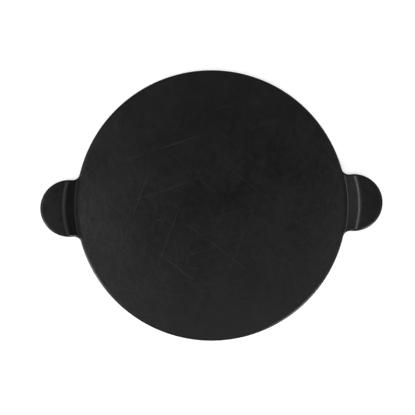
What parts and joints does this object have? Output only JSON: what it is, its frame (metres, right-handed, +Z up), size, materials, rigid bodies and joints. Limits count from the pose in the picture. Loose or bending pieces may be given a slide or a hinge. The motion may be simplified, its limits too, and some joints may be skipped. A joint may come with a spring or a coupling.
{
  "type": "pizza stone",
  "caption": "Round flat glazed stoneware baking stone with a raised half-round tab handle at each end and low foot rings underneath.",
  "frame": {"origin": "centre of the disc, on the plane of the foot rings that the stone stands on", "axes": "+X through the two handles, +Y across the disc, +Z up out of the cooking face"},
  "size_m": [0.478, 0.381, 0.026],
  "materials": {
    "fired_body": "matte fired stoneware, bare where the stone stands",
    "black_glaze": "satin black glaze with soft highlights"
  },
  "bodies": {
    "root": {"stone_body": "fired_body", "glaze_outer_coat": "black_glaze", "glaze_ring_channel": "black_glaze", "glaze_centre_well": "black_glaze"}
  },
  "joints": []
}
